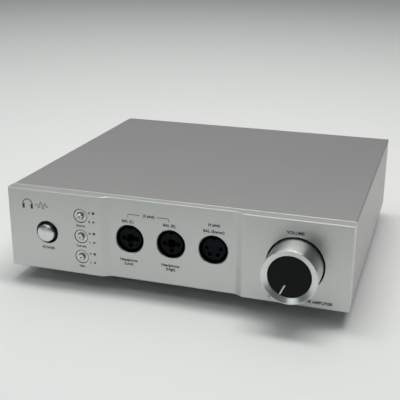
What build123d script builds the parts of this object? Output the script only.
from build123d import *
import os
from math import cos, radians, sin

# Balanced headphone amplifier in a folded aluminium case.
# Millimetres. +X is right as seen from the front, +Y runs to the back, +Z is up.
# The origin is on the surface it stands on, under the middle of the whole envelope.

# ---------------------------------------------------------------- case sizes
width = 240.0
panel_height = 58.4
case_depth = 218.3          # front face of the panel to the outside of the rear panel
foot_height = 10.6          # floor to the lower edge of the front panel

panel_thickness = 8.4
centre_half = 44.4          # half width of the sunk middle of the front panel
ramp_run = 5.4              # width of each sloping step beside it
centre_sink = 3.0
ramp_round = 4.0
panel_chamfer = 0.45
back_chamfer = 0.35         # fine vee between front panel and cover

cover_wall = 2.0
cover_lift = 0.8            # the cover's lower edge ends above the panel's
cover_round = 0.8
return_width = 14.0
base_wall = 1.5
sub_wall = 1.5
rear_wall = 2.0
slip = 0.15                 # gap round plates that slide into the cover
flange_depth = 10.0
tab_width, tab_inset = 14.0, 19.5
panel_screw_inset = 8.0
panel_screw_low, panel_screw_high = 10.0, 9.0
return_screw_end = 20.0
vent_length, vent_width, vent_pitch = 34.0, 3.0, 7.0
vent_rows, vent_inset = 9, 28.0

# ---------------------------------------------------------------- front controls
knob_from_edge = 35.7
knob_drop = 1.4             # axis below the panel's middle
knob_radius = 17.95
knob_recess = 19.2          # radius of the pocket that the knob's back end turns in
knob_out = 20.0
knob_sink = 4.3
knob_gap = 1.2              # air behind the knob, at the floor of its recess
rim_width = 1.0
rim_chamfer, lip_width = 0.2, 0.55
groove_width, groove_depth = 0.5, 0.4
dish_depth = 1.5
disc_radius = 14.0
disc_sink = 1.6
disc_thickness = 1.2
mark_inner, mark_outer, mark_width, mark_height = 6.6, 13.4, 0.9, 0.25
mark_angle = 24.0           # left of straight down
pot_clear_radius = 8.5
shaft_radius = 3.0
shaft_into_knob, shaft_into_pot = 16.0, 12.0
shaft_gap = 0.05
nut_pocket = 6.0
bushing_radius, bushing_length = 4.7, 7.0
pot_size, pot_depth, pot_corner = 27.0, 25.0, 3.0
pot_nut_radius, pot_nut_thickness = 6.3, 2.0

power_from_edge = 29.1
power_drop = 1.0
power_hole = 8.3
power_radius = 6.3
power_out = 3.6
power_dome = 1.3
power_travel = 3.0
power_guide_sink, power_guide_gap = 2.4, 0.3
plunger_radius, plunger_gap, plunger_into_switch = 2.4, 0.4, 6.0
plunger_seat = 1.5             # cap's back to the panel's back when pressed home
power_switch_size, power_switch_depth = 14.0, 16.0
tag_spread, tag_half, tag_wall, tag_long = 3.5, 1.0, 0.8, 5.0

selector_from_edge = 55.1
selector_drop = 0.9
selector_pitch = 15.0
selector_hole = 5.05
selector_ring = 4.7
selector_ring_sink = 0.2
selector_bore = 2.5
selector_radius = 2.2
selector_out = 2.0
selector_travel, selector_gap = 1.5, 0.3
selector_body, selector_depth = 7.0, 9.0
stem_into_switch = 1.5
selector_board_half = 9.0
dimple_radius, dimple_depth = 0.7, 0.4

# ---------------------------------------------------------------- sockets
socket_pitch, socket_shift = 29.6, -0.6
socket_rise = 0.3
socket_hole = 10.0
socket_chamfer = 0.5
socket_lip = 1.2            # metal left in front of each socket's nose
nose_wall = 2.3
socket_depth = 28.0
insert_sink = 0.8
insert_radius = 7.8
insert_neck = 14.0
insert_back = 1.5
key_half, key_deep = 1.5, 1.2    # keyway along the top of each insert's neck
socket_flange_wall = 2.0
flange_margin = 1.0         # flange beyond the nose at each side
flange_over = 3.6           # and above and below it
jack_radius = 3.2           # bore for a 6.35 mm plug
jack_length = 20.0
contact_circle = 4.8
contact_outer, contact_inner = 1.35, 1.05
contact_tail, contact_sink, contact_bore = 3.0, 3.0, 14.0
relief_radius, relief_depth = 1.75, 2.5
three_pins = (0.0, 180.0, 270.0)
four_pins = (5.0, 175.0, 235.0, 305.0)
flange_screw_inset = 3.45

input_from_edge = (101.0, 62.0)     # the two balanced inputs at the back
latch_half, latch_above_nose, latch_wall = 3.6, 1.0, 1.4
latch_proud, latch_in, latch_travel = 1.0, 1.0, 1.2     # proud of the flange when pressed home
latch_gap = 0.4

line_jack_from_edge = 24.0
line_jack_pitch = 18.0
line_sleeve, line_bore, line_tip = 4.15, 3.3, 1.6
jack_out = 13.7
line_collar, line_collar_wall = 6.2, 2.0
line_inside, line_tail = 8.0, 4.0
sleeve_chamfer, insulator_sink, tip_sink, tip_wall = 0.4, 1.5, 2.5, 0.35

inlet_from_edge = 35.0
inlet_flange_wide, inlet_flange_tall, inlet_flange_wall = 50.0, 31.0, 2.5
inlet_body_wide, inlet_body_tall, inlet_body_deep = 30.0, 29.0, 30.0
inlet_cavity_wide, inlet_cavity_tall, inlet_cavity_deep = 24.0, 16.5, 18.0
inlet_cavity_rise, inlet_corner, inlet_flange_round = 4.2, 5.0, 5.0
pin_spread, pin_wide, pin_tall, pin_long = 7.0, 2.0, 4.0, 14.0
earth_rise, pin_drop, pin_chamfer = 2.5, 1.5, 0.5
tab_half, tab_wide, tab_long = 0.4, 4.0, 8.0
drawer_drop, drawer_wide, drawer_tall, drawer_deep = 9.6, 23.4, 7.0, 20.0
drawer_gap, drawer_end_gap, drawer_seat_gap = 0.3, 1.0, 0.1
drawer_cap_wall, drawer_cap_margin = 1.5, 0.9
drawer_wall, drawer_front = 1.2, 8.0
grip_half, grip_deep = 5.0, 0.8
fuse_radius, fuse_length, fuse_cap, fuse_gap = 2.5, 20.0, 5.0, 0.2
inlet_screw_half = 20.0

# ---------------------------------------------------------------- insides
toroid_from_edge, toroid_from_panel = 61.0, 88.0
toroid_radius, toroid_hole, toroid_tall, toroid_round = 41.0, 10.0, 30.0, 6.0
pad_wall = 1.5
washer_radius, washer_wall = 26.0, 2.0
bolt_radius, bolt_head_radius, bolt_head = 3.0, 5.5, 3.0

board_from_panel, board_from_rear = 42.0, 38.0
board_left, board_from_edge = -10.0, 8.0
board_wall = 1.6
standoff = 6.0
standoff_radius, standoff_bore = 3.0, 4.0
board_corner = 6.0
capacitor_radius, capacitor_tall, capacitor_pitch = 8.0, 28.0, 17.0
capacitor_from_edge, capacitor_chamfer = 10.0, 0.8
sink_long, sink_deep, sink_tall, sink_web = 48.0, 14.0, 26.0, 3.0
sink_spread, sink_from_edge = 36.0, 6.0
fin_count, fin_wall = 8, 1.6
transistor_wide, transistor_deep, transistor_tall = 10.0, 4.5, 18.0
leg_pitch, leg_wide, leg_long, leg_from_sink = 2.5, 0.7, 3.0, 2.2
relay_wide, relay_deep, relay_tall = 10.0, 16.0, 11.0
relay_spread, relay_inset, relay_pitch = 9.0, 14.0, 22.0
header_wide, header_long, header_tall = 7.0, 16.0, 8.0
header_from_edge, header_inset = 5.0, 24.0
cable_radius = 2.0
wall_clear, harness_drop, harness_lead = 5.0, 8.0, 10.0

# ---------------------------------------------------------------- fasteners
m3_shank, m3_head, m3_head_tall = 1.5, 2.7, 1.8
m3_gap = 0.1
countersink = 1.25
screw_run_out = 1.5          # length past what a screw holds
panel_screw_depth = 5.0
foot_radius, foot_pad_radius, foot_pad_hole = 11.0, 9.0, 4.6
foot_pad_wall, foot_lip = 3.0, 1.4
foot_inset_x, foot_front_inset, foot_rear_inset = 27.0, 45.0, 30.0
foot_bore, foot_bore_deep = 4.2, 6.0
m4_shank, m4_head, m4_head_tall = 2.0, 3.6, 2.6
lug_wide, lug_deep, lug_tall, lug_inset = 12.0, 9.0, 7.6, 11.0
lug_wall = 2.0

# ---------------------------------------------------------------- places worked out
overall_depth = knob_out + case_depth + jack_out
front = -overall_depth / 2 + knob_out
panel_back = front + panel_thickness
sub_back = panel_back + sub_wall
rear = front + case_depth
rear_inside = rear - rear_wall
bottom = foot_height
top = bottom + panel_height
middle = bottom + panel_height / 2
cover_bottom = bottom + cover_lift
ceiling = top - cover_wall
base_bottom = cover_bottom + cover_wall
base_top = base_bottom + base_wall
inside_half = width / 2 - cover_wall

knob_x, knob_z = width / 2 - knob_from_edge, middle - knob_drop
power_x, power_z = -width / 2 + power_from_edge, middle - power_drop
selector_x = -width / 2 + selector_from_edge
selector_names = ("source_button", "current_button", "gain_button")
selector_heights = [middle - selector_drop + selector_pitch * k for k in (1, 0, -1)]
socket_z = middle + socket_rise
socket_names = ("low_socket", "high_socket", "balanced_socket")
socket_places = [socket_shift + socket_pitch * k for k in (-1, 0, 1)]
nose_radius = socket_hole - 0.4 + nose_wall
socket_bore = socket_hole - 0.4
nose_front = front + centre_sink + socket_lip
flange_half = nose_radius + flange_margin
flange_tall = 2 * (nose_radius + flange_over)
flange_screw_x = flange_half - flange_screw_inset
flange_screw_z = flange_tall / 2 - flange_screw_inset
latch_low = nose_radius + latch_above_nose
latch_high = latch_low + latch_wall
input_names = ("left_input", "right_input")
input_places = [width / 2 - inset for inset in input_from_edge]
line_jack_x = width / 2 - line_jack_from_edge
line_jack_heights = [middle + line_jack_pitch / 2, middle - line_jack_pitch / 2]
inlet_x = -width / 2 + inlet_from_edge
drawer_seat = rear + inlet_flange_wall + drawer_seat_gap
knob_floor = front + knob_sink + knob_gap
plunger_start = panel_back - power_travel - plunger_seat
screw_bore = m3_shank + m3_gap
toroid_x, toroid_y = -width / 2 + toroid_from_edge, panel_back + toroid_from_panel
board_right = inside_half - board_from_edge
board_front, board_rear = panel_back + board_from_panel, rear_inside - board_from_rear
board_bottom = base_top + standoff
board_top = board_bottom + board_wall
board_middle = (board_left + board_right) / 2
header_x, header_top = board_left + header_from_edge, board_top + header_tall
header_places = [board_front + header_inset, toroid_y]
foot_places = [
    (sx * (width / 2 - foot_inset_x), y)
    for sx in (-1, 1)
    for y in (front + foot_front_inset, rear - foot_rear_inset)
]
panel_screw_places = [
    (sx * (width / 2 - panel_screw_inset), z)
    for sx in (-1, 1)
    for z in (bottom + panel_screw_low, top - panel_screw_high)
]
return_screw_places = [
    (sx * (width / 2 - return_width / 2), y)
    for sx in (-1, 1)
    for y in (panel_back + return_screw_end, (panel_back + rear) / 2, rear - return_screw_end)
]
tab_places = [-(width / 2 - tab_inset), 0.0, width / 2 - tab_inset]
front_tab_y = sub_back + flange_depth / 2
rear_tab_y = rear_inside - flange_depth / 2
standoff_places = [
    (x, y)
    for x in (board_left + board_corner, board_right - board_corner)
    for y in (board_front + board_corner, board_rear - board_corner)
]
lug_places = [-(width / 2 - lug_inset), width / 2 - lug_inset]
lug_screw_z = ceiling - lug_tall / 2


# ---------------------------------------------------------------- small shapes
def block(x0, x1, y0, y1, z0, z1):
    """Box between two corners; each pair may come in either order."""
    centre = Pos((x0 + x1) / 2, (y0 + y1) / 2, (z0 + z1) / 2)
    return centre * Box(abs(x1 - x0), abs(y1 - y0), abs(z1 - z0))


def rod_y(x, z, y0, y1, radius):
    """Round bar along Y."""
    return Pos(x, (y0 + y1) / 2, z) * Rot(90, 0, 0) * Cylinder(radius, abs(y1 - y0))


def through_y(places, y0, y1, radius):
    """Round bars for a row of holes, each a little longer than the plate from y0 to y1."""
    return [rod_y(x, z, y0 - 1, y1 + 1, radius) for x, z in places]


def rod_z(x, y, z0, z1, radius):
    """Round bar along Z."""
    return Pos(x, y, (z0 + z1) / 2) * Cylinder(radius, abs(z1 - z0))


def rod_x(y, z, x0, x1, radius):
    """Round bar along X."""
    return Pos((x0 + x1) / 2, y, z) * Rot(0, 90, 0) * Cylinder(radius, abs(x1 - x0))


def turned_y(x, z, *profile):
    """Solid of revolution about a line along Y; profile points are (radius, y)."""
    face = make_face(Polyline(*profile, close=True))
    return Pos(x, 0, z) * revolve(face, Axis.Y)


def turned_z(x, y, *profile):
    """Solid of revolution about a line along Z; profile points are (radius, z)."""
    face = Plane.XZ * make_face(Polyline(*profile, close=True))
    return Pos(x, y, 0) * revolve(face, Axis.Z)


def head_profile(seat, tip, head, head_tall):
    """Half section of a pan head that sits against the plane at seat, away from the tip."""
    away = 1.0 if seat > tip else -1.0
    outer = seat + away * head_tall
    return [(0, seat), (head, seat), (head, outer - away * 0.5), (head - 0.6, outer), (0, outer)]


def screw_y(x, z, seat, tip):
    """M3 pan-head screw along Y."""
    return rod_y(x, z, seat, tip, m3_shank) + turned_y(x, z, *head_profile(seat, tip, m3_head, m3_head_tall))


def screw_z(x, y, seat, tip, shank=m3_shank, head=m3_head, head_tall=m3_head_tall):
    """Pan-head screw along Z, M3 unless told otherwise."""
    return rod_z(x, y, seat, tip, shank) + turned_z(x, y, *head_profile(seat, tip, head, head_tall))


def cable(*points, bend=12.0):
    """Round cable along straight runs joined by tangent arcs."""
    route = FilletPolyline(*points, radius=bend)
    start = Plane(origin=route @ 0, z_dir=route % 0)
    return sweep(start * Circle(cable_radius), path=route)


def flange_screw_spots(places, height):
    """The two screws of each socket flange, on opposite corners."""
    return [(x - side * flange_screw_x, height + side * flange_screw_z) for x in places for side in (-1, 1)]


def latch_slot(x, y0, y1):
    """Window above an input for its release tab, through the wall from y0 to y1."""
    half = latch_half + latch_gap
    low, high = middle + latch_low - latch_gap, middle + latch_high + latch_gap
    return block(x - half, x + half, y0 - 1, y1 + 1, low, high)


# ---------------------------------------------------------------- case
def front_panel():
    """Milled face plate: thick sides, a sunk middle with two sloping steps."""
    edge = width / 2
    outline = Polyline(
        (-edge, front),
        (-centre_half - ramp_run, front),
        (-centre_half, front + centre_sink),
        (centre_half, front + centre_sink),
        (centre_half + ramp_run, front),
        (edge, front),
        (edge, panel_back),
        (-edge, panel_back),
        close=True,
    )
    face = make_face(outline)
    steps = [v for v in face.vertices() if v.Y < panel_back - 1 and abs(v.X) < edge - 1]
    plate = Pos(0, 0, bottom) * extrude(fillet(steps, ramp_round), panel_height)
    before = [e for e in plate.edges() if e.bounding_box().max.Y < panel_back - 1]
    ends = [e for e in before if abs(e.center().X) > edge - 1]
    long_rims = [e for e in before if abs(e.center().Z - middle) > panel_height / 2 - 1]
    plate = chamfer(set(ends + long_rims), panel_chamfer)
    behind = [e for e in plate.edges() if e.bounding_box().min.Y > panel_back - 0.01]
    plate = chamfer(behind, back_chamfer)
    face_y = front + centre_sink
    for x in socket_places:
        mouth = turned_y(
            x,
            socket_z,
            (0, face_y - 1),
            (socket_hole + socket_chamfer + 1, face_y - 1),
            (socket_hole, face_y + socket_chamfer),
            (socket_hole, nose_front),
            (nose_radius + m3_gap, nose_front),
            (nose_radius + m3_gap, panel_back + 1),
            (0, panel_back + 1),
        )
        plate -= mouth
    plate -= rod_y(power_x, power_z, front - 1, panel_back + 1, power_hole)
    plate -= through_y([(selector_x, z) for z in selector_heights], front, panel_back, selector_hole)
    plate -= rod_y(knob_x, knob_z, front - 1, knob_floor, knob_recess)
    plate -= rod_y(knob_x, knob_z, front - 1, panel_back + 1, pot_clear_radius)
    for x, z in panel_screw_places:
        plate -= rod_y(x, z, panel_back - panel_screw_depth, panel_back + 1, screw_bore)
    return plate


def top_cover():
    """Folded sheet: top, two sides and a narrow return under each side."""
    x0, x1 = width / 2, width / 2 - cover_wall
    x2 = width / 2 - return_width
    half = [
        (x0, cover_bottom),
        (x2, cover_bottom),
        (x2, base_bottom),
        (x1, base_bottom),
        (x1, ceiling),
    ]
    points = [(0, top), (x0, top)] + half + [(-x, z) for x, z in reversed(half)] + [(-x0, top)]
    section = make_face(Polyline(*points, close=True))
    corners = [v for v in section.vertices() if abs(v.X) > x0 - 0.01]
    section = fillet(corners, cover_round)
    start = Plane(origin=(0, panel_back, 0), x_dir=(1, 0, 0), z_dir=(0, -1, 0))
    shell = extrude(start * section, -(rear - panel_back))
    front_edges = [e for e in shell.edges() if e.bounding_box().max.Y < panel_back + 0.01]
    seam = [e for e in front_edges if e.center().Z > top - 0.5 or abs(e.center().X) > x0 - 0.5]
    shell = chamfer(seam, back_chamfer)
    for x, y in return_screw_places:
        shell -= turned_z(
            x, y, (0, cover_bottom - 1), (m3_head + m3_gap, cover_bottom - 1),
            (m3_head + m3_gap, cover_bottom), (screw_bore, cover_bottom + countersink + 0.05),
            (screw_bore, base_bottom + 1), (0, base_bottom + 1),
        )
    return shell


def cover_lugs():
    """Blocks bonded under the cover's top, which the rear panel is screwed to."""
    lugs = []
    start = rear_inside - lug_deep
    for x in lug_places:
        lug = block(x - lug_wide / 2, x + lug_wide / 2, start, rear_inside, ceiling - lug_tall, ceiling)
        lugs.append(lug - rod_y(x, lug_screw_z, start + lug_wall, rear_inside + 1, screw_bore))
    return lugs


def base_plate():
    """Sheet floor that lies on the cover's returns, with vent slots and screw holes."""
    plate = block(-inside_half + slip, inside_half - slip, sub_back, rear, base_bottom, base_top)
    holes = [(x, y, m3_shank) for x, y in return_screw_places]
    holes += [(x, y, m4_shank) for x, y in foot_places]
    holes += [(x, y, m3_shank) for x in tab_places for y in (front_tab_y, rear_tab_y)]
    holes += [(x, y, m3_shank) for x, y in standoff_places]
    holes.append((toroid_x, toroid_y, bolt_radius))
    for x, y, radius in holes:
        plate -= rod_z(x, y, base_bottom - 1, base_top + 1, radius + m3_gap)
    slot = extrude(SlotOverall(vent_length, vent_width), base_wall + 2)
    field = (board_front + board_rear) / 2
    for row in range(vent_rows):
        y = field + (row - (vent_rows - 1) / 2) * vent_pitch
        for x in (board_left + vent_inset, board_right - vent_inset):
            plate -= Pos(x, y, base_bottom - 1) * slot
    return plate


def sub_panel():
    """Steel plate behind the face that carries sockets, switches and the volume control."""
    half = inside_half - slip
    plate = block(-half, half, panel_back, sub_back, base_bottom, ceiling - slip)
    tab_end, tab_top = sub_back + flange_depth, base_top + sub_wall
    for x in tab_places:
        plate += block(x - tab_width / 2, x + tab_width / 2, panel_back, tab_end, base_top, tab_top)
        plate -= rod_z(x, front_tab_y, base_top - 1, tab_top + 1, screw_bore)
    screws = flange_screw_spots(socket_places, socket_z) + panel_screw_places
    plate -= through_y(screws, panel_back, sub_back, screw_bore)
    plate -= through_y([(x, socket_z) for x in socket_places], panel_back, sub_back, nose_radius + m3_gap)
    plate -= through_y([(power_x, power_z)], panel_back, sub_back, plunger_radius + plunger_gap)
    buttons = [(selector_x, z) for z in selector_heights]
    plate -= through_y(buttons, panel_back, sub_back, selector_ring + m3_gap)
    return plate - through_y([(knob_x, knob_z)], panel_back, sub_back, bushing_radius + m3_gap)


def rear_panel():
    """Flat plate with the mains inlet, balanced inputs and line jacks, and tabs on the floor."""
    half = inside_half - slip
    plate = block(-half, half, rear_inside, rear, base_top, ceiling - slip)
    tab_start, tab_top = rear_inside - flange_depth, base_top + rear_wall
    for x in tab_places:
        plate += block(x - tab_width / 2, x + tab_width / 2, tab_start, rear, base_top, tab_top)
        plate -= rod_z(x, rear_tab_y, base_top - 1, tab_top + 1, screw_bore)
    for x in input_places:
        plate -= latch_slot(x, rear_inside, rear)
    wide, tall = inlet_body_wide / 2 + m3_gap, inlet_body_tall / 2 + m3_gap
    plate -= block(inlet_x - wide, inlet_x + wide, rear_inside - 1, rear + 1, middle - tall, middle + tall)
    screws = flange_screw_spots(input_places, middle)
    screws += [(inlet_x + side * inlet_screw_half, middle) for side in (-1, 1)]
    screws += [(x, lug_screw_z) for x in lug_places]
    plate -= through_y(screws, rear_inside, rear, screw_bore)
    plate -= through_y([(x, middle) for x in input_places], rear_inside, rear, nose_radius + m3_gap)
    jacks = [(line_jack_x, z) for z in line_jack_heights]
    return plate - through_y(jacks, rear_inside, rear, line_sleeve + m3_gap)


def feet():
    """Turned feet with a recess below for the rubber pad and a counterbore for the screw."""
    made = []
    for x, y in foot_places:
        foot = turned_z(
            x, y, (0, foot_lip), (foot_radius - 1.2, foot_lip), (foot_radius, foot_lip + 1.6),
            (foot_radius, base_bottom - 2.5), (foot_radius - 1.0, base_bottom), (0, base_bottom),
        )
        foot -= rod_z(x, y, 0, foot_pad_wall, foot_pad_radius + m3_gap)
        foot -= rod_z(x, y, 0, foot_bore_deep, foot_bore)
        made.append(foot - rod_z(x, y, 0, base_bottom + 1, m4_shank + m3_gap))
    return made


def foot_pads():
    """Rubber rings that the case stands on."""
    rings = []
    for x, y in foot_places:
        rings.append(
            turned_z(
                x, y, (foot_pad_hole, 0), (foot_pad_radius - 0.5, 0), (foot_pad_radius, 0.5),
                (foot_pad_radius, foot_pad_wall), (foot_pad_hole, foot_pad_wall),
            )
        )
    return rings


# ---------------------------------------------------------------- fasteners
def foot_screws():
    """M4 screws up through the feet into the floor plate."""
    tip = base_top + 2 * screw_run_out
    return [screw_z(x, y, foot_bore_deep, tip, m4_shank, m4_head, m4_head_tall) for x, y in foot_places]


def panel_screws():
    """Screws through the steel plate into the back of the face plate."""
    return [screw_y(x, z, sub_back, panel_back - panel_screw_depth + 0.5) for x, z in panel_screw_places]


def cover_screws():
    """Countersunk screws up through the cover's returns into the floor plate."""
    tip = base_top + screw_run_out
    made = []
    for x, y in return_screw_places:
        made.append(
            turned_z(
                x, y, (0, cover_bottom), (m3_head, cover_bottom), (m3_shank, cover_bottom + countersink),
                (m3_shank, tip), (0, tip),
            )
        )
    return made


def tab_screws():
    """Screws up through the floor into the tabs of the front and rear plates."""
    made = []
    for x in tab_places:
        made.append(screw_z(x, front_tab_y, base_bottom, base_top + sub_wall + screw_run_out))
        made.append(screw_z(x, rear_tab_y, base_bottom, base_top + rear_wall + screw_run_out))
    return made


def rear_screws():
    """Screws that hold the rear panel to the cover's lugs, and its connectors to it."""
    made = [screw_y(x, lug_screw_z, rear, rear_inside - lug_deep + lug_wall + 0.5) for x in lug_places]
    tip = rear_inside - 2 * screw_run_out
    for x, z in flange_screw_spots(input_places, middle):
        made.append(screw_y(x, z, rear + socket_flange_wall, tip))
    for side in (-1, 1):
        made.append(screw_y(inlet_x + side * inlet_screw_half, middle, rear + inlet_flange_wall, tip))
    return made


def socket_screws():
    """Screws through the front sockets' flanges into the steel plate."""
    seat = sub_back + socket_flange_wall
    return [screw_y(x, z, seat, panel_back + 0.2) for x, z in flange_screw_spots(socket_places, socket_z)]


# ---------------------------------------------------------------- volume control
def volume_knob():
    """Turned aluminium knob: narrow lip, dished face down to the disc, fine groove, bore for the shaft."""
    face = front - knob_out
    back = front + knob_sink
    body = turned_y(
        knob_x,
        knob_z,
        (0, face + disc_sink + disc_thickness),
        (disc_radius, face + disc_sink + disc_thickness),
        (disc_radius, face + dish_depth),
        (knob_radius - lip_width, face),
        (knob_radius - rim_chamfer, face),
        (knob_radius, face + rim_chamfer),
        (knob_radius, face + rim_width),
        (knob_radius - groove_depth, face + rim_width),
        (knob_radius - groove_depth, face + rim_width + groove_width),
        (knob_radius, face + rim_width + groove_width),
        (knob_radius, back - 0.4),
        (knob_radius - 0.4, back),
        (0, back),
    )
    body -= rod_y(knob_x, knob_z, back - shaft_into_knob, back + 1, shaft_radius + 0.02)
    return body - rod_y(knob_x, knob_z, back - nut_pocket, back + 1, pot_nut_radius + 1.0)


def knob_disc():
    """Black disc pressed into the knob's dish."""
    face = front - knob_out + disc_sink
    return rod_y(knob_x, knob_z, face, face + disc_thickness, disc_radius - 0.05)


def knob_mark():
    """Raised bar on the disc that shows the setting."""
    face = front - knob_out + disc_sink
    bar = block(-mark_width / 2, mark_width / 2, face - mark_height, face, -mark_outer, -mark_inner)
    return Pos(knob_x, 0, knob_z) * Rot(0, mark_angle, 0) * bar


def volume_shaft():
    """Shaft from inside the knob to inside the volume control."""
    start = front + knob_sink - shaft_into_knob + 0.5
    return rod_y(knob_x, knob_z, start, sub_back + shaft_into_pot, shaft_radius)


def volume_pot():
    """Square motor-less control with a threaded bushing through the steel plate."""
    half = pot_size / 2
    body = block(knob_x - half, knob_x + half, sub_back, sub_back + pot_depth, knob_z - half, knob_z + half)
    body = chamfer(body.edges().filter_by(Axis.Y), pot_corner)
    start = sub_back - bushing_length
    body += rod_y(knob_x, knob_z, start, sub_back, bushing_radius)
    return body - rod_y(knob_x, knob_z, start - 1, sub_back + shaft_into_pot + 0.5, shaft_radius + shaft_gap)


def pot_nut():
    """Hexagon nut that clamps the volume control's bushing to the steel plate."""
    nut = extrude(RegularPolygon(pot_nut_radius, 6), pot_nut_thickness)
    nut -= Cylinder(bushing_radius + shaft_gap, 3 * pot_nut_thickness)
    return Pos(knob_x, panel_back, knob_z) * Rot(90, 0, 0) * nut


# ---------------------------------------------------------------- power switch
def power_button():
    """Domed aluminium cap."""
    face = front - power_out
    shoulder = face + power_dome
    return turned_y(
        power_x, power_z, (0, face), (power_radius * 0.65, face + power_dome * 0.2),
        (power_radius * 0.88, face + power_dome * 0.45), (power_radius, shoulder),
        (power_radius, plunger_start), (0, plunger_start),
    )


def power_plunger():
    """Rod from the cap through the steel plate into the switch."""
    return rod_y(power_x, power_z, plunger_start, sub_back + plunger_into_switch, plunger_radius)


def power_guide():
    """Black plastic sleeve in the panel that guides the button."""
    ring = rod_y(power_x, power_z, front + power_guide_sink, panel_back, power_hole - shaft_gap)
    return ring - rod_y(power_x, power_z, front, panel_back + 1, power_radius + power_guide_gap)


def power_switch():
    """Mains switch body with four solder tags."""
    half = power_switch_size / 2
    back = sub_back + power_switch_depth
    body = block(power_x - half, power_x + half, sub_back, back, power_z - half, power_z + half)
    for dx in (-tag_spread, tag_spread):
        for dz in (-tag_spread, tag_spread):
            x, z = power_x + dx, power_z + dz
            low, high = z - tag_wall / 2, z + tag_wall / 2
            body += block(x - tag_half, x + tag_half, back, back + tag_long, low, high)
    deep = sub_back + plunger_into_switch + power_travel + 0.5
    return body - rod_y(power_x, power_z, sub_back - 1, deep, plunger_radius + plunger_gap)


# ---------------------------------------------------------------- selectors
def selector_button(z):
    """Round push button with a small centre dimple."""
    face = front - selector_out
    back = sub_back + stem_into_switch
    return turned_y(
        selector_x, z, (dimple_radius, face), (selector_radius - 0.4, face), (selector_radius, face + 0.4),
        (selector_radius, back), (0, back), (0, face + dimple_depth),
        (dimple_radius * 0.6, face + dimple_depth),
    )


def selector_rings():
    """Threaded bushings of the three selectors, one in each panel hole."""
    made = []
    for z in selector_heights:
        ring = rod_y(selector_x, z, front + selector_ring_sink, sub_back, selector_ring)
        made.append(ring - rod_y(selector_x, z, front - 1, sub_back + 1, selector_bore))
    return made


def selector_switches():
    """Small switch bodies behind the steel plate."""
    half, back = selector_body / 2, sub_back + selector_depth
    deep = sub_back + stem_into_switch + selector_travel + 0.5
    made = []
    for z in selector_heights:
        body = block(selector_x - half, selector_x + half, sub_back, back, z - half, z + half)
        made.append(body - rod_y(selector_x, z, sub_back - 1, deep, selector_radius + selector_gap))
    return made


def selector_board():
    """Circuit board on the backs of the three selector switches."""
    y = sub_back + selector_depth
    low = selector_heights[-1] - selector_body / 2
    high = selector_heights[0] + selector_body
    half = selector_board_half
    return block(selector_x - half, selector_x + half, y, y + board_wall, low, high)


# ---------------------------------------------------------------- sockets
def socket_shell(x, z, nose, seat, inward, latch):
    """Round shell with a rectangular flange; the insert sits in its bore.

    nose is the y of its mouth, seat the y of the face that its flange rests on, and
    inward is the direction from the mouth towards the inside of the case.
    """
    tail = nose + inward * socket_depth
    far, tall = seat + socket_flange_wall, flange_tall / 2
    shell = rod_y(x, z, nose, tail, nose_radius)
    plate = block(x - flange_half, x + flange_half, seat, far, z - tall, z + tall)
    shell += fillet(plate.edges().filter_by(Axis.Y), 2.0)
    shell -= rod_y(x, z, nose - inward, tail + inward, socket_bore)
    shell -= through_y(flange_screw_spots([x], z), seat, far, screw_bore)
    return shell - latch_slot(x, seat, far) if latch else shell


def contact_spots(x, z, angles):
    """Centres of a socket's contacts, on a circle about its axis."""
    return [(x + contact_circle * cos(radians(a)), z + contact_circle * sin(radians(a))) for a in angles]


def socket_insert(x, z, nose, inward, angles, jack):
    """Moulded insert: a neck that plugs slide over, a full base, holes for the contacts."""
    face = nose + inward * insert_sink
    neck_end = face + inward * insert_neck
    tail = nose + inward * socket_depth
    end = tail + inward * insert_back
    insert = rod_y(x, z, face, neck_end, insert_radius)
    rim = z + insert_radius
    insert -= block(x - key_half, x + key_half, face - inward, neck_end, rim - key_deep, rim + 1)
    insert += rod_y(x, z, neck_end, tail, socket_bore - shaft_gap)
    insert += rod_y(x, z, tail, end, nose_radius)
    if jack:
        insert -= rod_y(x, z, face, face + inward * jack_length, jack_radius)
    for px, pz in contact_spots(x, z, angles):
        insert -= rod_y(px, pz, face, end + inward, contact_outer + shaft_gap)
        if jack:
            insert -= rod_y(px, pz, face, face + inward * relief_depth, relief_radius)
    return insert


def socket_contacts(x, z, nose, inward, angles):
    """Tubular contacts with solder tails."""
    start = nose + inward * (insert_sink + contact_sink)
    end = nose + inward * (socket_depth + insert_back + contact_tail)
    made = []
    for px, pz in contact_spots(x, z, angles):
        tube = rod_y(px, pz, start, end, contact_outer)
        made.append(tube - rod_y(px, pz, start, start + inward * contact_bore, contact_inner))
    return made


def input_latch(x):
    """Release tab over each balanced input."""
    return block(
        x - latch_half, x + latch_half,
        rear - latch_in, rear + socket_flange_wall + latch_travel + latch_proud,
        middle + latch_low, middle + latch_high,
    )


# ---------------------------------------------------------------- line jacks
def line_sleeves():
    """Gold-plated outer contacts, each with a collar against the rear panel."""
    start, end = rear_inside - line_inside, rear + jack_out
    made = []
    for z in line_jack_heights:
        sleeve = rod_y(line_jack_x, z, start, end, line_sleeve)
        sleeve = chamfer(sleeve.edges().sort_by(Axis.Y)[-1], sleeve_chamfer)
        sleeve += rod_y(line_jack_x, z, rear, rear + line_collar_wall, line_collar)
        made.append(sleeve - rod_y(line_jack_x, z, start - 1, end + 1, line_bore))
    return made


def line_insulators():
    """White bushes between the sleeves and the centre contacts."""
    start, end = rear_inside - line_inside, rear + jack_out - insulator_sink
    made = []
    for z in line_jack_heights:
        core = rod_y(line_jack_x, z, start, end, line_bore)
        made.append(core - rod_y(line_jack_x, z, start - 1, end + 1, line_tip))
    return made


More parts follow.
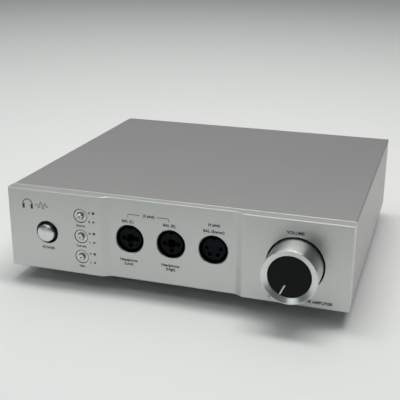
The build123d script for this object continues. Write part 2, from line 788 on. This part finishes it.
def line_tips():
    """Centre contacts, hollow at the plug's end, solid where the wire is soldered."""
    start, end = rear_inside - line_inside - line_tail, rear + jack_out - tip_sink
    made = []
    for z in line_jack_heights:
        tip = rod_y(line_jack_x, z, start, end, line_tip)
        made.append(tip - rod_y(line_jack_x, z, rear, end + 1, line_tip - tip_wall))
    return made


# ---------------------------------------------------------------- mains inlet
def inlet_housing():
    """Moulded inlet with a plug cavity above and a fuse drawer pocket below."""
    outer = rear + inlet_flange_wall
    wide, tall = inlet_flange_wide / 2, inlet_flange_tall / 2
    flange = block(inlet_x - wide, inlet_x + wide, rear, outer, middle - tall, middle + tall)
    flange = fillet(flange.edges().filter_by(Axis.Y), inlet_flange_round)
    wide, tall = inlet_body_wide / 2, inlet_body_tall / 2
    body = block(inlet_x - wide, inlet_x + wide, rear - inlet_body_deep, rear, middle - tall, middle + tall)
    housing = flange + body
    wide = inlet_cavity_wide / 2
    low = middle + inlet_cavity_rise - inlet_cavity_tall / 2
    high = low + inlet_cavity_tall
    cavity = block(inlet_x - wide, inlet_x + wide, outer - inlet_cavity_deep, outer + 1, low, high)
    shoulders = [e for e in cavity.edges().filter_by(Axis.Y) if e.center().Z > middle + inlet_cavity_rise]
    housing -= chamfer(shoulders, inlet_corner)
    wide, tall = drawer_wide / 2 + drawer_gap, drawer_tall / 2 + drawer_gap
    deep = outer - drawer_deep - drawer_end_gap
    centre = middle - drawer_drop
    housing -= block(inlet_x - wide, inlet_x + wide, deep, outer + 1, centre - tall, centre + tall)
    screws = [(inlet_x + side * inlet_screw_half, middle) for side in (-1, 1)]
    return housing - through_y(screws, rear, outer, screw_bore)


def inlet_pins():
    """Three flat contacts standing in the cavity, each with a tab at the back."""
    floor = rear + inlet_flange_wall - inlet_cavity_deep
    end = floor + pin_long
    centre = middle + inlet_cavity_rise
    back = rear - inlet_body_deep
    half_wide, half_tall, half_tab = pin_wide / 2, pin_tall / 2, tab_wide / 2
    made = []
    for dx, dz in ((-pin_spread, -pin_drop), (0, earth_rise), (pin_spread, -pin_drop)):
        x, z = inlet_x + dx, centre + dz
        pin = block(x - half_wide, x + half_wide, floor, end, z - half_tall, z + half_tall)
        tips = [e for e in pin.edges() if e.center().Y > end - 0.01]
        made.append(chamfer(tips, pin_chamfer))
        made.append(block(x - tab_half, x + tab_half, back - tab_long, back, z - half_tab, z + half_tab))
    return made


def fuse_drawer():
    """Drawer with a trough for the fuse and a cap that covers the pocket."""
    outer = drawer_seat
    centre = middle - drawer_drop
    wide, tall = drawer_wide / 2, drawer_tall / 2
    tray = block(inlet_x - wide, inlet_x + wide, outer - drawer_deep, outer, centre - tall, centre + tall)
    tray -= block(
        inlet_x - wide + drawer_wall, inlet_x + wide - drawer_wall, outer - drawer_deep + drawer_wall,
        outer - drawer_front, centre - tall + drawer_wall, centre + tall + 1,
    )
    margin = drawer_cap_margin
    cap = block(
        inlet_x - wide - margin, inlet_x + wide + margin, outer, outer + drawer_cap_wall,
        centre - tall - margin, centre + tall + margin,
    )
    grip = outer + drawer_cap_wall - grip_deep
    rim = centre + tall + margin
    cap -= block(inlet_x - grip_half, inlet_x + grip_half, grip, outer + 3, centre + 1.0, rim + 1)
    return tray + cap


def fuse():
    """Glass fuse with a metal cap at each end, lying in the drawer."""
    y = drawer_seat - drawer_deep + drawer_wall + fuse_radius + fuse_gap
    z = middle - drawer_drop - drawer_tall / 2 + drawer_wall + fuse_radius
    half = fuse_length / 2
    body = rod_x(y, z, inlet_x - half, inlet_x + half, fuse_radius - 0.3)
    for side in (-1, 1):
        body += rod_x(y, z, inlet_x + side * half, inlet_x + side * (half - fuse_cap), fuse_radius)
    return body


# ---------------------------------------------------------------- insides
def transformer():
    """Toroidal mains transformer."""
    ring = rod_z(toroid_x, toroid_y, base_top + pad_wall, base_top + pad_wall + toroid_tall, toroid_radius)
    ring = fillet(ring.edges(), toroid_round)
    return ring - rod_z(toroid_x, toroid_y, base_top, base_top + pad_wall + toroid_tall + 1, toroid_hole)


def transformer_pads():
    """Rubber discs below and above the transformer."""
    made = []
    for z in (base_top, base_top + pad_wall + toroid_tall):
        pad = rod_z(toroid_x, toroid_y, z, z + pad_wall, toroid_radius - toroid_round)
        made.append(pad - rod_z(toroid_x, toroid_y, z - 1, z + pad_wall + 1, bolt_radius + m3_gap))
    return made


def transformer_washer():
    """Dished clamping washer, as a flat disc."""
    z = base_top + 2 * pad_wall + toroid_tall
    disc = rod_z(toroid_x, toroid_y, z, z + washer_wall, washer_radius)
    return disc - rod_z(toroid_x, toroid_y, z - 1, z + washer_wall + 1, bolt_radius + m3_gap)


def transformer_bolt():
    """Bolt down through the transformer into the floor plate."""
    z = base_top + 2 * pad_wall + toroid_tall + washer_wall
    return screw_z(toroid_x, toroid_y, z, base_bottom, bolt_radius, bolt_head_radius, bolt_head)


def main_board():
    """Amplifier board with a hole at each standoff."""
    plate = block(board_left, board_right, board_front, board_rear, board_bottom, board_top)
    for x, y in standoff_places:
        plate -= rod_z(x, y, board_bottom - 1, board_top + 1, screw_bore)
    return plate


def board_standoffs():
    """Round posts between the floor plate and the board."""
    made = []
    for x, y in standoff_places:
        post = rod_z(x, y, base_top, board_bottom, standoff_radius)
        made.append(post - rod_z(x, y, board_bottom - standoff_bore, board_bottom + 1, screw_bore))
    return made


def board_screws():
    """Screws down through the board into the standoffs."""
    return [screw_z(x, y, board_top, board_bottom - standoff_bore + 0.5) for x, y in standoff_places]


def filter_capacitors():
    """Two rows of four electrolytic cans near the rear of the board."""
    made = []
    for row in (0, 1):
        y = board_rear - capacitor_from_edge - row * capacitor_pitch
        for column in range(4):
            x = board_middle + (column - 1.5) * capacitor_pitch
            can = rod_z(x, y, board_top, board_top + capacitor_tall, capacitor_radius)
            made.append(chamfer(can.edges().sort_by(Axis.Z)[-1], capacitor_chamfer))
    return made


def heat_sinks():
    """Two finned extrusions, one along each side of the output stage."""
    y0 = board_front + sink_from_edge
    pitch = (sink_long - fin_wall) / (fin_count - 1)
    made = []
    for side in (-1, 1):
        x = board_middle + side * sink_spread
        sink = block(x, x + side * sink_web, y0, y0 + sink_long, board_top, board_top + sink_tall)
        for k in range(fin_count):
            y = y0 + k * pitch
            sink += block(x, x + side * sink_deep, y, y + fin_wall, board_top, board_top + sink_tall)
        made.append(sink)
    return made


def output_transistors():
    """Power transistors standing against the inner faces of the heat sinks."""
    low = board_top + leg_long
    half_wide, half_leg = transistor_wide / 2, leg_wide / 2
    made = []
    for side in (-1, 1):
        x = board_middle + side * sink_spread
        leg = x - side * leg_from_sink
        for k in range(4):
            y = board_front + sink_from_edge + sink_long * (k + 0.5) / 4
            made.append(
                block(x, x - side * transistor_deep, y - half_wide, y + half_wide, low, low + transistor_tall)
            )
            for pin in (y - leg_pitch, y, y + leg_pitch):
                made.append(
                    block(leg - half_leg, leg + half_leg, pin - half_leg, pin + half_leg, board_top, low)
                )
    return made


def relays():
    """Output relays in two pairs between the heat sinks."""
    half_wide, half_deep = relay_wide / 2, relay_deep / 2
    high = board_top + relay_tall
    made = []
    for x in (board_middle - relay_spread, board_middle + relay_spread):
        for y in (board_front + relay_inset, board_front + relay_inset + relay_pitch):
            made.append(block(x - half_wide, x + half_wide, y - half_deep, y + half_deep, board_top, high))
    return made


def board_headers():
    """White cable headers at the left edge of the board."""
    half_wide, half_long = header_wide / 2, header_long / 2
    return [
        block(header_x - half_wide, header_x + half_wide, y - half_long, y + half_long, board_top, header_top)
        for y in header_places
    ]


def mains_harness():
    """Mains cable from the inlet, along the left wall, to the power switch."""
    wall_x = -inside_half + wall_clear
    low, high = middle - harness_drop, middle - harness_drop / 2
    back_y = rear - inlet_body_deep - harness_lead
    front_y = sub_back + power_switch_depth + 1.6 * harness_lead
    return cable(
        (inlet_x, rear - inlet_body_deep, low),
        (inlet_x, back_y, low),
        (wall_x, back_y - wall_clear, low),
        (wall_x, front_y, low),
        (power_x, front_y - wall_clear, high),
        (power_x, sub_back + power_switch_depth, high),
        bend=5.0,
    )


def secondary_harness():
    """Low-voltage leads from the transformer over to the board."""
    start = toroid_x + toroid_radius
    low, high = header_top - 2.0, header_top + harness_lead - 1.0
    return cable(
        (start, toroid_y, low),
        (start + 5.0, toroid_y, low),
        (start + 7.0, toroid_y, high),
        (header_x, toroid_y, high),
        (header_x, toroid_y, header_top),
        bend=2.5,
    )


def signal_harness():
    """Screened lead from the volume control back to the board."""
    start = sub_back + pot_depth
    end_x, end_y = board_middle + 2.2 * harness_lead, board_front + harness_drop
    return cable(
        (knob_x, start, knob_z),
        (knob_x, start + harness_lead, knob_z),
        (end_x, end_y, board_top + 1.4 * harness_lead),
        (end_x, end_y, board_top),
        bend=4.0,
    )


# ---------------------------------------------------------------- write the sub-parts
nodes = {
    "front_panel": front_panel(),
    "top_cover": top_cover(),
    "cover_lugs": cover_lugs(),
    "base_plate": base_plate(),
    "sub_panel": sub_panel(),
    "rear_panel": rear_panel(),
    "feet": feet(),
    "foot_pads": foot_pads(),
    "foot_screws": foot_screws(),
    "cover_screws": cover_screws(),
    "rear_screws": rear_screws(),
    "inner_screws": panel_screws() + tab_screws() + socket_screws() + board_screws(),
    "volume_knob": volume_knob(),
    "knob_disc": knob_disc(),
    "knob_mark": knob_mark(),
    "volume_shaft": volume_shaft(),
    "volume_pot": volume_pot(),
    "pot_nut": pot_nut(),
    "power_button": power_button(),
    "power_plunger": power_plunger(),
    "power_guide": power_guide(),
    "power_switch": power_switch(),
    "selector_rings": selector_rings(),
    "selector_switches": selector_switches(),
    "selector_board": selector_board(),
    "line_sleeves": line_sleeves(),
    "line_insulators": line_insulators(),
    "line_tips": line_tips(),
    "inlet_housing": inlet_housing(),
    "inlet_pins": inlet_pins(),
    "fuse_drawer": fuse_drawer(),
    "fuse": fuse(),
    "transformer": transformer(),
    "transformer_pads": transformer_pads(),
    "transformer_washer": transformer_washer(),
    "transformer_bolt": transformer_bolt(),
    "main_board": main_board(),
    "board_standoffs": board_standoffs(),
    "filter_capacitors": filter_capacitors(),
    "heat_sinks": heat_sinks(),
    "output_transistors": output_transistors(),
    "relays": relays(),
    "board_headers": board_headers(),
    "mains_harness": mains_harness(),
    "secondary_harness": secondary_harness(),
    "signal_harness": signal_harness(),
}
for name, z in zip(selector_names, selector_heights):
    nodes[name] = selector_button(z)
contacts = []
for name, x in zip(socket_names, socket_places):
    is_jack = name != "balanced_socket"
    pattern = three_pins if is_jack else four_pins
    nodes[name + "_shell"] = socket_shell(x, socket_z, nose_front, sub_back, 1, False)
    nodes[name + "_insert"] = socket_insert(x, socket_z, nose_front, 1, pattern, is_jack)
    contacts += socket_contacts(x, socket_z, nose_front, 1, pattern)
input_nose = rear + socket_flange_wall
input_shells, input_inserts = [], []
for name, x in zip(input_names, input_places):
    input_shells.append(socket_shell(x, middle, input_nose, rear, -1, True))
    input_inserts.append(socket_insert(x, middle, input_nose, -1, three_pins, False))
    contacts += socket_contacts(x, middle, input_nose, -1, three_pins)
    nodes[name + "_latch"] = input_latch(x)
nodes["input_shells"] = input_shells
nodes["input_inserts"] = input_inserts
nodes["socket_contacts"] = contacts

os.makedirs("parts", exist_ok=True)
for name, made in nodes.items():
    pieces = made if isinstance(made, list) else [made]
    solids = [solid for piece in pieces for solid in piece.solids()]
    shape = solids[0] if len(solids) == 1 else Compound(children=solids)
    shape.label = name
    export_step(shape, f"parts/{name}.step")
